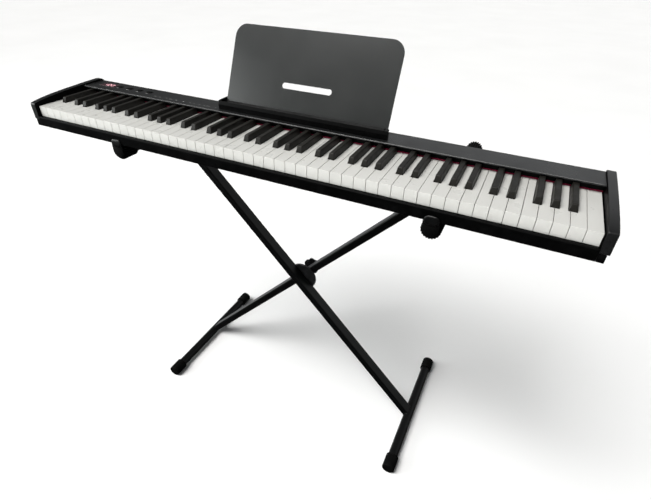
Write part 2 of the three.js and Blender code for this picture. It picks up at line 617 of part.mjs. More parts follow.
// One leg with the foot at its lower end and the arm at its upper end.
// side is the foot's side, +1 for the player's right; planeY is the leg's plane.
function addLegAssembly(stand, { legName, footSide, armSide, side, planeY, holeFrom }) {
  const footX = side * FOOT_HALF_SPAN;
  const armX = -side * ARM_HALF_SPAN;
  const foot = new THREE.Group();
  foot.position.set(footX, FOOT_CENTRE_Y, FOOT_AXIS_Z);
  part(foot, `foot_tube_${footSide}`, pipeY(
    FOOT_TUBE_R, TUBE_WALL, -FOOT_HALF_LENGTH + CAP_END_WALL + FIT,
    FOOT_HALF_LENGTH - CAP_END_WALL - FIT), PAINT);
  part(foot, `foot_cap_${footSide}_front`, capGeometry(
    FOOT_CAP_R, FOOT_TUBE_R, FOOT_HALF_LENGTH, -1, 0), RUBBER);
  part(foot, `foot_cap_${footSide}_rear`, capGeometry(
    FOOT_CAP_R, FOOT_TUBE_R, FOOT_HALF_LENGTH, 1, 0), RUBBER);
  const arm = new THREE.Group();
  arm.position.set(armX, ARM_CENTRE_Y, ARM_AXIS_Z);
  part(arm, `arm_tube_${armSide}`, pipeY(
    ARM_TUBE_R, TUBE_WALL, -ARM_HALF_LENGTH + CAP_END_WALL + FIT,
    ARM_HALF_LENGTH - CAP_END_WALL - FIT), PAINT);
  part(arm, `arm_cap_${armSide}_front`, stopCapGeometry(), RUBBER);
  part(arm, `arm_cap_${armSide}_rear`, capGeometry(
    ARM_CAP_R, ARM_TUBE_R, ARM_HALF_LENGTH, 1, CAP_RIBS), RUBBER);
  part(arm, `arm_sleeve_${armSide}`, pipeY(
    SLEEVE_R, SLEEVE_R - ARM_TUBE_R - FIT, SLEEVE_Y0, SLEEVE_Y1), RUBBER);
  const leg = part(stand, legName, legGeometry(holeFrom), PAINT);
  leg.position.set(0, LEGS_Y + planeY, HUB_Z);
  leg.rotation.y = Math.atan2(HUB_Z - FOOT_AXIS_Z, footX);
  stand.add(foot, arm);
}

function addHub(stand) {
  const hub = new THREE.Group();
  hub.position.set(0, LEGS_Y, HUB_Z);
  const gap = 0.2;
  part(hub, 'lock_disc_front', discGeometry(), PAINT).position.y = -gap - DISC_THICK;
  part(hub, 'lock_disc_rear', discGeometry(), PAINT).position.y = gap;
  part(hub, 'pivot_bolt', boltGeometry(), STEEL);
  part(hub, 'lock_knob', knobGeometry(), RUBBER);
  stand.add(hub);
}

function buildStand() {
  const stand = new THREE.Group();
  addLegAssembly(stand, {
    legName: 'leg_front', footSide: 'right', armSide: 'left',
    side: 1, planeY: -LEG_PLANE_Y, holeFrom: 0,
  });
  addLegAssembly(stand, {
    legName: 'leg_rear', footSide: 'left', armSide: 'right',
    side: -1, planeY: LEG_PLANE_Y, holeFrom: -LEG_DEPTH,
  });
  addHub(stand);
  return stand;
}

function buildPiano() {
  const piano = new THREE.Group();
  piano.position.set(0, PIANO_Y, PIANO_Z);
  addCase(piano);
  addInsides(piano);
  addKeyboard(piano);
  addMusicRest(piano);
  return piano;
}

const model = new THREE.Group();
model.add(buildStand(), buildPiano());
export default model;
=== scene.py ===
import math
import random

import bmesh
import bpy
from mathutils import Matrix, Vector


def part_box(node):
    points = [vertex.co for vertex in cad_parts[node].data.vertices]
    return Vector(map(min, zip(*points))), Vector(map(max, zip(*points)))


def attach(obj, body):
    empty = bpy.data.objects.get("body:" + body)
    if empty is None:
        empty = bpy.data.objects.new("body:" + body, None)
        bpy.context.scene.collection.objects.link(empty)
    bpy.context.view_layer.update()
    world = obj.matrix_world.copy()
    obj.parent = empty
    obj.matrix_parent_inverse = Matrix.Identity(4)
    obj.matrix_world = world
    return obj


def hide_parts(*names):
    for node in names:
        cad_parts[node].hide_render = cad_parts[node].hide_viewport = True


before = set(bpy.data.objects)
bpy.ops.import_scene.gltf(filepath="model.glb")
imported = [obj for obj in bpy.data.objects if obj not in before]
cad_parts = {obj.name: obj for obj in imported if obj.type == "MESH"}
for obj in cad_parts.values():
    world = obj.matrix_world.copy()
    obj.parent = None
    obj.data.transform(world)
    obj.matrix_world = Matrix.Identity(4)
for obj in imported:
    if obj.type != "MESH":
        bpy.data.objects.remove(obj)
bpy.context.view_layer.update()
MM = 0.001
rng = random.Random(7)


# ---------------------------------------------------------------- node helpers
class Nodes:
    """A material's node tree, with short ways to add and link nodes."""

    def __init__(self, name):
        self.material = bpy.data.materials.new(name)
        self.material.use_nodes = True
        self.tree = self.material.node_tree
        self.shader = self.tree.nodes["Principled BSDF"]
        self.coords = self.tree.nodes.new("ShaderNodeTexCoord").outputs["Object"]

    def set(self, **sockets):
        for key, value in sockets.items():
            self.shader.inputs[key.replace("_", " ")].default_value = value
        return self

    def link(self, source, target):
        self.tree.links.new(source, target)

    def feed(self, socket, source):
        self.link(source, self.shader.inputs[socket])

    def stretch(self, scale):
        node = self.tree.nodes.new("ShaderNodeMapping")
        node.inputs["Scale"].default_value = scale
        self.link(self.coords, node.inputs["Vector"])
        return node.outputs["Vector"]

    def noise(self, scale, detail=3.0, rough=0.55, vector=None, distortion=0.0):
        node = self.tree.nodes.new("ShaderNodeTexNoise")
        node.inputs["Scale"].default_value = scale
        node.inputs["Detail"].default_value = detail
        node.inputs["Roughness"].default_value = rough
        node.inputs["Distortion"].default_value = distortion
        self.link(vector or self.coords, node.inputs["Vector"])
        return node.outputs["Fac"]

    def cells(self, scale, vector=None):
        node = self.tree.nodes.new("ShaderNodeTexVoronoi")
        node.inputs["Scale"].default_value = scale
        self.link(vector or self.coords, node.inputs["Vector"])
        return node.outputs["Distance"]

    def ramp(self, source, low, high, start=0.3, end=0.7):
        node = self.tree.nodes.new("ShaderNodeMapRange")
        node.inputs["From Min"].default_value = start
        node.inputs["From Max"].default_value = end
        node.inputs["To Min"].default_value = low
        node.inputs["To Max"].default_value = high
        self.link(source, node.inputs["Value"])
        return node.outputs["Result"]

    def mix(self, factor, a, b):
        node = self.tree.nodes.new("ShaderNodeMix")
        node.data_type = "RGBA"
        self.link(factor, node.inputs["Factor"])
        for socket, value in (("A", a), ("B", b)):
            target = [i for i in node.inputs if i.name == socket and i.type == "RGBA"][0]
            if isinstance(value, (tuple, list)):
                target.default_value = (*value, 1.0)
            else:
                self.link(value, target)
        return [o for o in node.outputs if o.type == "RGBA"][0]

    def product(self, a, b):
        node = self.tree.nodes.new("ShaderNodeMath")
        node.operation = "MULTIPLY"
        self.link(a, node.inputs[0])
        self.link(b, node.inputs[1])
        return node.outputs[0]

    def edges(self):
        """0 on flat surfaces and 1 along convex edges: the mask for edge wear and painted edge highlight.
        """
        node = self.tree.nodes.new("ShaderNodeNewGeometry")
        return self.ramp(node.outputs["Pointiness"], 0.0, 1.0, 0.52, 0.6)

    def bump(self, height, distance, strength=1.0, normal=None):
        node = self.tree.nodes.new("ShaderNodeBump")
        node.inputs["Distance"].default_value = distance
        node.inputs["Strength"].default_value = strength
        self.link(height, node.inputs["Height"])
        if normal:
            self.link(normal, node.inputs["Normal"])
        return node.outputs["Normal"]


def moulded_plastic(name, dark, light, rough, grain, depth, specular=0.5, edge_wear_and_highlight=None):
    """Injection-moulded plastic: fine cast grain, uneven gloss, and lighter convex edges that are partly
    wear and partly painted highlight.
    """
    n = Nodes(name)
    n.set(Specular_IOR_Level=specular)
    colour = n.mix(n.ramp(n.noise(9.0, 4.0), 0.0, 1.0), dark, light)
    if edge_wear_and_highlight:
        # Lighter convex edges: partly wear, partly painted highlight.
        worn_and_lit_edges = n.product(n.edges(), n.ramp(n.noise(60.0, 4.0), 0.0, 1.0, 0.45, 0.75))
        colour = n.mix(worn_and_lit_edges, colour, edge_wear_and_highlight)
    n.feed("Base Color", colour)
    smear = n.noise(14.0, 5.0, 0.6)
    n.feed("Roughness", n.ramp(smear, rough[0], rough[1]))
    n.feed("Normal", n.bump(n.noise(grain, 2.0, 0.5), depth))
    return n.material


def powder_coat(name):
    """Satin black powder coat on steel, with a fine orange-peel surface."""
    n = Nodes(name)
    n.set(Specular_IOR_Level=0.3, Coat_Weight=0.05, Coat_Roughness=0.3)
    colour = n.mix(n.ramp(n.noise(6.0, 4.0), 0.0, 1.0), (0.0014, 0.0015, 0.0016), (0.0022, 0.0023, 0.0025))
    n.feed("Base Color", colour)
    n.feed("Roughness", n.ramp(n.noise(25.0, 4.0), 0.36, 0.43))
    peel = n.bump(n.noise(520.0, 2.0, 0.5), 0.00010, 0.5)
    n.feed("Normal", n.bump(n.noise(2400.0, 1.0), 0.00005, 0.5, peel))
    return n.material


def ivory_plastic(name):
    """White key plastic: faint yellowing, finger smears, very fine grain."""
    n = Nodes(name)
    n.set(Specular_IOR_Level=0.5, Coat_Weight=0.12, Coat_Roughness=0.1)
    tone = n.mix(n.ramp(n.noise(3.5, 3.0), 0.0, 1.0), (0.655, 0.65, 0.62), (0.70, 0.695, 0.665))
    grime = n.ramp(n.noise(45.0, 6.0, 0.65), 0.0, 0.18, 0.6, 0.9)
    n.feed("Base Color", n.mix(grime, tone, (0.58, 0.565, 0.52)))
    n.feed("Roughness", n.ramp(n.noise(30.0, 5.0, 0.6), 0.24, 0.4))
    along = n.stretch((1.0, 0.15, 1.0))
    n.feed("Normal", n.bump(n.noise(900.0, 2.0, 0.5, along), 0.00003, 0.5))
    return n.material


def sharp_plastic(name):
    """Black key plastic: matt, with fine lengthwise grain like ebony."""
    n = Nodes(name)
    n.set(Specular_IOR_Level=0.3)
    along = n.stretch((1.0, 0.06, 1.0))
    streak = n.noise(700.0, 3.0, 0.6, along)
    n.feed("Base Color", n.mix(n.ramp(streak, 0.0, 1.0), (0.0075, 0.0070, 0.0058), (0.015, 0.0137, 0.011)))
    n.feed("Roughness", n.ramp(n.noise(60.0, 4.0), 0.40, 0.55))
    n.feed("Normal", n.bump(streak, 0.00006, 0.6))
    return n.material


def rubber(name):
    """Matt black rubber with a little dust in its grain."""
    n = Nodes(name)
    n.set(Specular_IOR_Level=0.1)
    dusty = n.ramp(n.noise(35.0, 6.0, 0.65), 0.0, 1.0, 0.45, 0.8)
    n.feed("Base Color", n.mix(dusty, (0.0012, 0.0012, 0.00126), (0.00312, 0.00312, 0.0030)))
    n.feed("Roughness", n.ramp(n.noise(50.0, 4.0), 0.6, 0.85))
    n.feed("Normal", n.bump(n.noise(1400.0, 3.0, 0.6), 0.00008, 0.7))
    return n.material


def felt(name):
    """Dense red wool: short fibres, soft sheen, no gloss."""
    n = Nodes(name)
    n.set(Specular_IOR_Level=0.1, Sheen_Weight=0.7, Sheen_Roughness=0.5, Roughness=0.95)
    n.set(Sheen_Tint=(0.9, 0.35, 0.45, 1.0))
    fibre = n.noise(1500.0, 6.0, 0.7, n.stretch((0.4, 1.0, 1.0)), 1.5)
    n.feed("Base Color", n.mix(n.ramp(fibre, 0.0, 1.0), (0.10, 0.004, 0.018), (0.30, 0.018, 0.06)))
    n.feed("Normal", n.bump(fibre, 0.0004, 0.9))
    return n.material


def plated_steel(name):
    """Zinc-plated steel, brushed along its length."""
    n = Nodes(name)
    n.set(Metallic=1.0)
    brushed = n.noise(500.0, 4.0, 0.6, n.stretch((0.05, 1.0, 1.0)))
    n.feed("Base Color", n.mix(n.ramp(brushed, 0.0, 1.0), (0.42, 0.43, 0.44), (0.58, 0.58, 0.57)))
    n.feed("Roughness", n.ramp(n.noise(40.0, 4.0), 0.28, 0.45))
    n.feed("Normal", n.bump(brushed, 0.00004, 0.6))
    return n.material


def circuit_board(name):
    """Green solder mask over paler copper runs."""
    n = Nodes(name)
    n.set(Specular_IOR_Level=0.5)
    runs = n.ramp(n.cells(320.0, n.stretch((1.0, 0.5, 1.0))), 1.0, 0.0, 0.25, 0.32)
    n.feed("Base Color", n.mix(runs, (0.012, 0.075, 0.028), (0.03, 0.17, 0.06)))
    n.feed("Roughness", n.ramp(n.noise(90.0, 3.0), 0.3, 0.5))
    n.feed("Normal", n.bump(runs, 0.00005, 0.5))
    return n.material


def tinted_window(name):
    """Smooth dark red plastic over the display."""
    n = Nodes(name)
    n.set(Specular_IOR_Level=0.6, Coat_Weight=0.6, Coat_Roughness=0.05)
    cloudy = n.ramp(n.noise(25.0, 3.0), 0.0, 1.0)
    n.feed("Base Color", n.mix(cloudy, (0.030, 0.006, 0.010), (0.055, 0.011, 0.018)))
    n.feed("Roughness", n.ramp(n.noise(50.0, 5.0), 0.08, 0.22))
    n.feed("Normal", n.bump(n.noise(700.0, 2.0), 0.00002, 0.4))
    return n.material


def lit_segment(name):
    """A lit digit segment, uneven under a faint diffuser grain."""
    n = Nodes(name)
    n.set(Base_Color=(0.9, 0.5, 0.55, 1.0), Roughness=0.5, Emission_Strength=0.95)
    glow = n.ramp(n.noise(900.0, 3.0), 0.0, 1.0)
    n.feed("Emission Color", n.mix(glow, (1.0, 0.34, 0.42), (1.0, 0.62, 0.68)))
    return n.material


def printed_ink_and_highlight(name):
    """Pale printing, a little patchy; it also paints the highlight line along the panel's front edge."""
    n = Nodes(name)
    n.set(Specular_IOR_Level=0.3)
    patchy = n.ramp(n.noise(2200.0, 3.0), 0.0, 1.0)
    n.feed("Base Color", n.mix(patchy, (0.36, 0.36, 0.36), (0.60, 0.60, 0.59)))
    n.feed("Roughness", n.ramp(n.noise(90.0, 3.0), 0.45, 0.6))
    return n.material


def pale_floor(name):
    """Plain matt studio floor."""
    n = Nodes(name)
    n.set(Specular_IOR_Level=0.15, Roughness=0.9)
    uneven = n.ramp(n.noise(1.3, 2.0), 0.0, 1.0)
    n.feed("Base Color", n.mix(uneven, (0.93, 0.93, 0.93), (0.96, 0.96, 0.96)))
    return n.material


def pale_backdrop(name):
    """A plain evenly lit backdrop."""
    n = Nodes(name)
    n.set(Base_Color=(0.0, 0.0, 0.0, 1.0), Specular_IOR_Level=0.0, Emission_Strength=1.0)
    uneven = n.ramp(n.noise(0.08, 2.0), 0.0, 1.0)
    n.feed("Emission Color", n.mix(uneven, (0.98, 0.985, 0.985), (1.02, 1.025, 1.025)))
    return n.material


# The lighter edge colours given below are partly wear and partly painted highlight.
PAINT = powder_coat("stand_powder_coat")
RUBBER = rubber("cap_rubber")
# Front case plastic, darkened below the rear cover's tone by painted shade; the rear cover is the same
# plastic at its own tone.
CASE_WITH_PAINTED_SHADE = moulded_plastic(
    "case_black", (0.0009, 0.0010, 0.0010), (0.0016, 0.0016, 0.0017), (0.38, 0.52), 1500.0, 0.00008,
    specular=0.04, edge_wear_and_highlight=(0.006, 0.006, 0.0065))
REAR = moulded_plastic(
    "case_black_rear", (0.0035, 0.0036, 0.0037), (0.0060, 0.0061, 0.0063), (0.40, 0.54), 1300.0, 0.0001,
    specular=0.45, edge_wear_and_highlight=(0.02, 0.02, 0.021))
GLOSS_BLACK = moulded_plastic(
    "fascia_gloss_black", (0.0014, 0.0015, 0.0015), (0.0022, 0.0022, 0.0023), (0.30, 0.42), 700.0, 0.00003,
    specular=0.06, edge_wear_and_highlight=(0.006, 0.006, 0.0065))
PANEL = moulded_plastic(
    "panel_semi_gloss", (0.0085, 0.0088, 0.0092), (0.0125, 0.0128, 0.0133), (0.24, 0.36), 1100.0, 0.00006,
    specular=0.5)
REST = moulded_plastic(
    "rest_smooth_grey", (0.0250, 0.0265, 0.0262), (0.0275, 0.0290, 0.0287), (0.23, 0.27), 500.0, 0.00003,
    specular=0.5)
KNOB = moulded_plastic(
    "knob_black", (0.0012, 0.0012, 0.0013), (0.0026, 0.0026, 0.0027), (0.42, 0.58), 900.0, 0.0001,
    specular=0.08, edge_wear_and_highlight=(0.010, 0.010, 0.011))
IVORY = ivory_plastic("white_key_plastic")
SHARP = sharp_plastic("black_key_plastic")
FELT = felt("red_felt")
STEEL = plated_steel("plated_steel")
BOARD = circuit_board("circuit_board")
WINDOW = tinted_window("display_window_red")
LIT = lit_segment("display_segments")
INK_AND_HIGHLIGHT = printed_ink_and_highlight("panel_ink_and_highlight")
BUTTON = rubber("button_rubber")
PAD = moulded_plastic(
    "stop_pad_rubber", (0.0028, 0.0029, 0.0030), (0.0050, 0.0051, 0.0053), (0.3, 0.42), 800.0, 0.0001,
    specular=0.33)
HUB = moulded_plastic(
    "hub_plate", (0.0075, 0.0078, 0.0082), (0.0115, 0.0118, 0.0122), (0.34, 0.46), 700.0, 0.00008,
    specular=0.4, edge_wear_and_highlight=(0.03, 0.031, 0.033))
SURROUND = moulded_plastic(
    "button_surround_ink", (0.0022, 0.0022, 0.0023), (0.0034, 0.0034, 0.0036), (0.5, 0.65), 900.0, 0.00004,
    specular=0.08)


# ---------------------------------------------------------------- mesh helpers
def bevelled(obj, width, segments=3, angle=30.0):
    """Rounded edges with clean shading on the flats."""
    if width:
        bevel = obj.modifiers.new("edges", "BEVEL")
        bevel.width = width
        bevel.segments = segments
        bevel.limit_method = "ANGLE"
        bevel.angle_limit = math.radians(angle)
        bevel.harden_normals = False
    smooth = obj.modifiers.new("normals", "WEIGHTED_NORMAL")
    smooth.keep_sharp = True
    smooth.weight = 80
    return obj


def dressed(node, material, bevel=0.0, segments=2):
    """A CAD node that is shown as it is, with its material and rounded edges."""
    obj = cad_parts[node]
    obj.data.materials.clear()
    obj.data.materials.append(material)
    if bevel:
        weld = obj.modifiers.new("weld", "WELD")
        weld.merge_threshold = 0.00002
        bevelled(obj, bevel, segments, 35.0)


def new_object(name, bm, material, smooth=True, sharp=None):
    bmesh.ops.recalc_face_normals(bm, faces=bm.faces)
    mesh = bpy.data.meshes.new(name)
    bm.to_mesh(mesh)
    bm.free()
    for face in mesh.polygons:
        face.use_smooth = smooth
    if sharp:
        mesh.set_sharp_from_angle(angle=math.radians(sharp))
    mesh.materials.append(material)
    obj = bpy.data.objects.new(name, mesh)
    bpy.context.scene.collection.objects.link(obj)
    return obj


def settle(obj, body, slot, *nodes):
    """The piece rides on a body and stands for CAD nodes; the slot argument is not used."""
    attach(obj, body)
    if nodes:
        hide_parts(*nodes)


def loft(bm, rings, closed_ends=True, closed_loop=False):
    """Joins rings of points into a skin, with a face over each end."""
    loops = [[bm.verts.new(p) for p in ring] for ring in rings]
    pairs = list(zip(loops, loops[1:]))
    if closed_loop:
        pairs.append((loops[-1], loops[0]))
    for a, b in pairs:
        for i in range(len(a)):
            j = (i + 1) % len(a)
            bm.faces.new((a[i], a[j], b[j], b[i]))
    if closed_ends and not closed_loop:
        bm.faces.new(loops[0][::-1])
        bm.faces.new(loops[-1])
    return loops


def ring_y(cx, y, cz, radius, sides, ripple=0.0, lobes=0):
    points = []
    for i in range(sides):
        turn = 2 * math.pi * (i + 0.5) / sides
        r = radius + (ripple * (abs(math.cos(lobes * turn / 2)) - 1) if lobes else 0.0)
        points.append((cx + r * math.cos(turn), y, cz + r * math.sin(turn)))
    return points


def turned_y(bm, cx, cz, profile, sides=64, ripple=0.0, lobes=0):
    """A turned solid about an axis along Y. profile is [(radius, y, ripple share)]."""
    rings = [
        ring_y(cx, p[1], cz, p[0], sides, ripple * (p[2] if len(p) > 2 else 0.0), lobes)
        for p in profile]
    return loft(bm, rings)


def bored_y(bm, cx, cz, outer, inner, sides=64):
    """A turned ring: the outer profile one way and the inner profile back."""
    rings = [ring_y(cx, y, cz, radius, sides) for radius, y in [*outer, *inner]]
    return loft(bm, rings, closed_loop=True)


def rim_profile(radius, y0, y1, chamfer):
    """The outer profile of a turned ring with a chamfer at each end."""
    return [(radius - chamfer, y0), (radius, y0 + chamfer), (radius, y1 - chamfer), (radius - chamfer, y1)]


def prism(bm, outline, place, depth):
    """A flat outline pushed along a depth. place(u, v, w) gives the point in space."""
    near = [bm.verts.new(place(u, v, 0.0)) for u, v in outline]
    far = [bm.verts.new(place(u, v, depth)) for u, v in outline]
    bm.faces.new(near[::-1])
    bm.faces.new(far)
    for i in range(len(outline)):
        j = (i + 1) % len(outline)
        bm.faces.new((near[i], near[j], far[j], far[i]))


def block(bm, lo, hi):
    outline = [(lo[0], lo[1]), (hi[0], lo[1]), (hi[0], hi[1]), (lo[0], hi[1])]
    prism(bm, outline, lambda u, v, w: (u, v, lo[2] + w), hi[2] - lo[2])


def rounded(width, height, radius, steps):
    """A rounded rectangle, centred, counter-clockwise."""
    points = []
    for quarter, (su, sv) in enumerate(((1, 1), (-1, 1), (-1, -1), (1, -1))):
        for i in range(steps + 1):
            turn = (quarter + i / steps) * math.pi / 2
            points.append((
                su * (width / 2 - radius) + radius * math.cos(turn),
                sv * (height / 2 - radius) + radius * math.sin(turn)))
    return points


def middle(node):
    lo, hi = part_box(node)
    return (lo + hi) / 2


# ---------------------------------------------------------------- camera, lights, floor
CAMERA_AT = (0.4721, -0.8725, 1.1841)
CAMERA_TURNS = ((24.87, "Z"), (54.92, "X"), (1.44, "Z"))
WALL, ROOM, FLOOR_GLOW, LOW_GLOW = 0.46, 0.075, 0.05, 0.7
TOWARD_WALL = (0.34, 0.94)
TOWARD_LOW_GLOW = (-0.68, 0.73)
SUN_FROM = (-0.34, -0.43, 0.84)
FLOOR_HALF = 30.0
BACKDROP_RADIUS = 28.0


def add_camera():
    data = bpy.data.cameras.new("camera")
    data.sensor_fit = "HORIZONTAL"
    data.sensor_width = 36.0
    data.lens = 24.56
    data.clip_end = 100.0
    camera = bpy.data.objects.new("camera", data)
    bpy.context.scene.collection.objects.link(camera)
    placed = Matrix.Translation(CAMERA_AT)
    for degrees, axis in CAMERA_TURNS:
        placed = placed @ Matrix.Rotation(math.radians(degrees), 4, axis)
    camera.matrix_world = placed
    bpy.context.scene.camera = camera


def add_area(name, at, toward, size, power, colour):
    data = bpy.data.lights.new(name, "AREA")
    data.shape = "RECTANGLE"
    data.size, data.size_y = size
    data.energy = power
    data.color = colour
    light = bpy.data.objects.new(name, data)
    bpy.context.scene.collection.objects.link(light)
    light.location = at
    light.rotation_euler = (Vector(toward) - Vector(at)).to_track_quat("-Z", "Y").to_euler()


def studio_world():
    """Light from the room: a pale wall low behind, a pale floor at the back left, and dim elsewhere."""
    world = bpy.data.worlds.new("studio")
    world.use_nodes = True
    tree = world.node_tree
    sky = tree.nodes["Background"]
    direction = tree.nodes.new("ShaderNodeTexCoord").outputs["Generated"]

    def scaled(source, a, b, low, high):
        node = tree.nodes.new("ShaderNodeMapRange")
        node.interpolation_type = "SMOOTHSTEP"
        for key, value in (("From Min", a), ("From Max", b), ("To Min", low), ("To Max", high)):
            node.inputs[key].default_value = value
        tree.links.new(source, node.inputs["Value"])
        return node.outputs["Result"]

    def math_node(kind, a, b):
        node = tree.nodes.new("ShaderNodeMath")
        node.operation = kind
        for socket, value in zip(node.inputs, (a, b)):
            if isinstance(value, float):
                socket.default_value = value
            else:
                tree.links.new(value, socket)
        return node.outputs[0]

    split = tree.nodes.new("ShaderNodeSeparateXYZ")
    tree.links.new(direction, split.inputs[0])
    x, y, z = split.outputs

    def toward(heading):
        return math_node("ADD", math_node("MULTIPLY", x, heading[0]), math_node("MULTIPLY", y, heading[1]))

    across_wall = scaled(toward(TOWARD_WALL), 0.25, 0.92, 0.0, WALL)
    wall = math_node("MULTIPLY", across_wall, scaled(z, 0.5, 0.75, 1.0, 0.0))
    above = scaled(z, -0.04, 0.02, FLOOR_GLOW, 1.0)
    room = math_node("MULTIPLY", math_node("ADD", wall, ROOM), above)
    across_glow = scaled(toward(TOWARD_LOW_GLOW), 0.5, 0.9, 0.0, LOW_GLOW)
    glow = math_node("MULTIPLY", across_glow, scaled(z, -0.05, -0.2, 0.0, 1.0))
    tree.links.new(math_node("ADD", room, glow), sky.inputs["Strength"])
    sky.inputs["Color"].default_value = (0.97, 0.99, 1.0, 1.0)
    bpy.context.scene.world = world


def add_studio():
    """World, soft overhead sun, left window, floor, and a backdrop that only the camera sees."""
    studio_world()
    sun = bpy.data.lights.new("ceiling_light", "SUN")
    sun.energy = 3.45
    sun.angle = math.radians(38)
    sun.color = (1.0, 0.995, 0.98)
    lamp = bpy.data.objects.new("ceiling_light", sun)
    bpy.context.scene.collection.objects.link(lamp)
    lamp.rotation_euler = Vector(SUN_FROM).to_track_quat("Z", "Y").to_euler()
    add_area("left_window", (-3.46, -2.0, 1.6), (0.0, 0.0, 0.9), (2.9, 2.1), 100.0, (0.96, 1.0, 0.99))
    bm = bmesh.new()
    signs = ((-1, -1), (1, -1), (1, 1), (-1, 1))
    bm.faces.new([bm.verts.new((x * FLOOR_HALF, y * FLOOR_HALF, 0.0)) for x, y in signs])
    floor = new_object("studio_floor", bm, pale_floor("floor_white"), smooth=False)
    floor.visible_glossy = False
    bm = bmesh.new()
    bmesh.ops.create_uvsphere(bm, u_segments=96, v_segments=48, radius=BACKDROP_RADIUS)
    backdrop = new_object("studio_backdrop", bm, pale_backdrop("backdrop_white"))
    for kind in ("diffuse", "glossy", "transmission", "shadow"):
        setattr(backdrop, "visible_" + kind, False)
    bpy.context.scene.view_settings.view_transform = "Standard"
    bpy.context.scene.view_settings.look = "None"


# ---------------------------------------------------------------- keyboard
OCTAVES = 7
KEY_GAP = 0.9 * MM
NOTCH_CLEAR = 0.8 * MM
SLAB = 12.0 * MM
SKIRT = 4.0 * MM
BLACK_FRONT = 49.2 * MM
BLACK_FULL_END = 143.2 * MM
BLACK_DIP_END = 151.2 * MM
BLACK_BASE_END = 164.0 * MM
SPINE = 10.0 * MM


def keyboard_measures():
    """Left end, pitch, front, rear, skirt bottom and top of the white keys."""
    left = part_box("white_keys_a0_b0")[0]
    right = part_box("white_key_c8")[1]
    pitch = (right.x - left.x + KEY_GAP) / 52
    return left.x - KEY_GAP / 2, pitch, left.y, right.y, left.z, right.z


KEY_X0, PITCH, KEY_Y0, KEY_Y1, SKIRT_Z, TOP_Z = keyboard_measures()
BLACK_HALF = 6.5 * MM
BLACK_TOP_HALF = 4.9 * MM
BLACK_TOP_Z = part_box("black_key_a0")[1].z


def white_left(index):
    return KEY_X0 + index * PITCH


def sharp_centres():
    """Each black key's centre, by the white key boundary that it stands on."""
    narrow, wide = 3 * PITCH / 5, 4 * PITCH / 7
    in_octave = {
        1: 1.5 * narrow, 2: 3.5 * narrow,
        4: 3 * PITCH + 1.5 * wide, 5: 3 * PITCH + 3.5 * wide, 6: 3 * PITCH + 5.5 * wide}
    found = {}
    for octave in range(-1, OCTAVES):
        for boundary, x in in_octave.items():
            index = 2 + octave * 7 + boundary
            if index > 0:
                found[index] = white_left(2 + octave * 7) + x
    return found


SHARPS = sharp_centres()


def white_key(bm, index):
    """One white key: a head with a front skirt, and a tail between its black keys."""
    left, right = white_left(index) + KEY_GAP / 2, white_left(index + 1) - KEY_GAP / 2
    reach = BLACK_HALF + NOTCH_CLEAR
    tail_left = SHARPS[index] + reach if index in SHARPS else left
    tail_right = SHARPS[index + 1] - reach if index + 1 in SHARPS else right
    y0, y1 = KEY_Y0, KEY_Y1 - SPINE / 2
    notch = KEY_Y0 + BLACK_FRONT - MM
    lip = y0 + SKIRT
    outline = [(left, y0), (right, y0), (right, lip)]
    if tail_right < right:
        outline += [(right, notch), (tail_right, notch)]
    outline += [(tail_right, y1), (tail_left, y1)]
    if tail_left > left:
        outline += [(tail_left, notch), (left, notch)]
    outline.append((left, lip))
    top = [bm.verts.new((x, y, TOP_Z)) for x, y in outline]
    low = [bm.verts.new((x, y, TOP_Z - SLAB)) for x, y in outline]
    bm.faces.new(top)
    for i in range(len(outline)):
        j = (i + 1) % len(outline)
        if i != 0:
            bm.faces.new((top[j], top[i], low[i], low[j]))
    foot = [bm.verts.new((low[k].co.x, low[k].co.y, SKIRT_Z)) for k in (0, 1, 2, -1)]
    bm.faces.new(low[2:][::-1])
    bm.faces.new((top[1], top[0], low[0], foot[0], foot[1], low[1]))
    bm.faces.new((low[1], foot[1], foot[2], low[2]))
    bm.faces.new((low[2], foot[2], foot[3], low[-1]))
    bm.faces.new((low[-1], foot[3], foot[0], low[0]))
    bm.faces.new((foot[0], foot[3], foot[2], foot[1]))


def white_comb(name, first, last, body):
    bm = bmesh.new()
    for index in range(first, last + 1):
        white_key(bm, index)
    lo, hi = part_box(name)
    block(bm, (lo.x + 2 * MM, KEY_Y1 - SPINE, TOP_Z - SLAB + MM), (hi.x - 2 * MM, KEY_Y1, TOP_Z - 2 * MM))
    obj = new_object(name + "_keys", bm, IVORY, sharp=30)
    bevelled(obj, 0.35 * MM, 3)
    settle(obj, body, "white_key", name)


